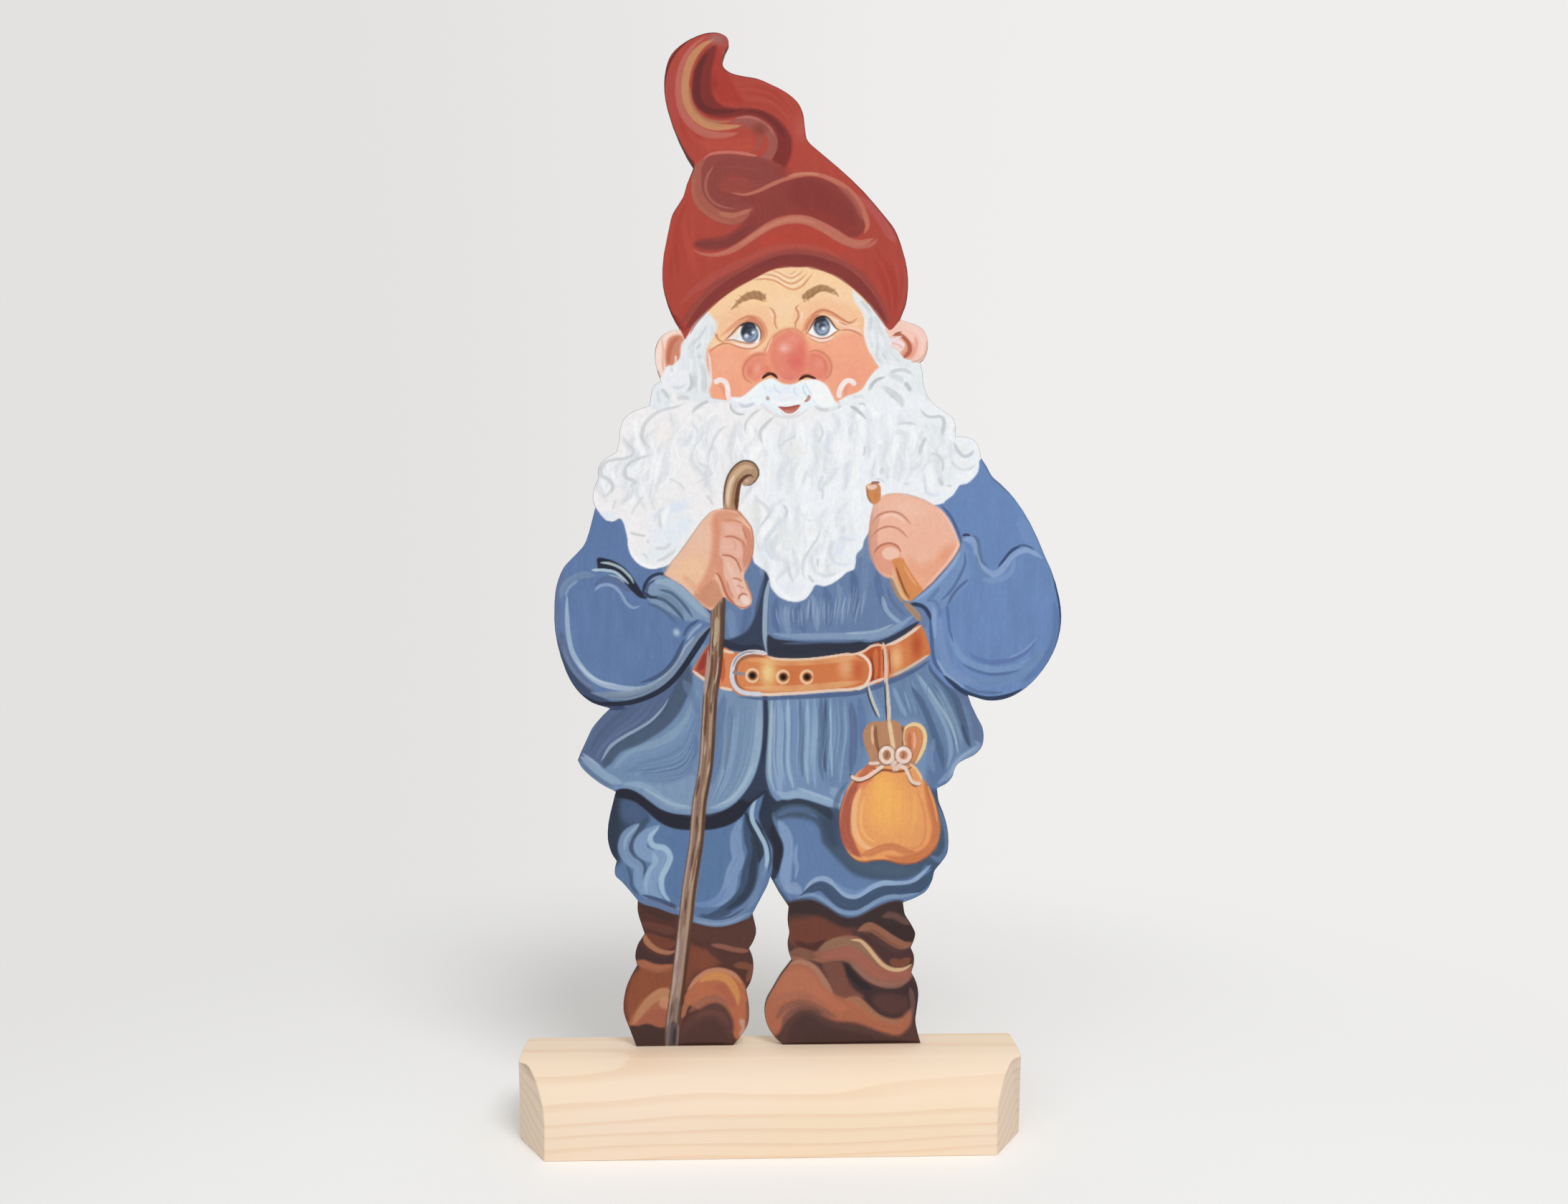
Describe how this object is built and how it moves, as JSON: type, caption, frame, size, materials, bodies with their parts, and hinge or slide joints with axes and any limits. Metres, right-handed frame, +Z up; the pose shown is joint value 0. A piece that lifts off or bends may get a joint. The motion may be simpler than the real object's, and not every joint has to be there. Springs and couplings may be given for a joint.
{
  "type": "tomte figure",
  "caption": "Flat plywood cut-out of a bearded tomte in a tall cap, painted on its front and glued upright into a wooden block.",
  "frame": {"origin": "middle of the block's underside", "axes": "+Z up, the painted front faces -Y, +X to the right as the figure is looked at"},
  "size_m": [0.2891, 0.07, 0.5886],
  "materials": {
    "painted_plywood": "artist's acrylic paint under a satin varnish on birch plywood, bare on the back",
    "pale_softwood": "planed and sanded softwood under a thin clear varnish"
  },
  "bodies": {
    "root": {"figure_board": "painted_plywood", "base_block": "pale_softwood"}
  },
  "joints": []
}
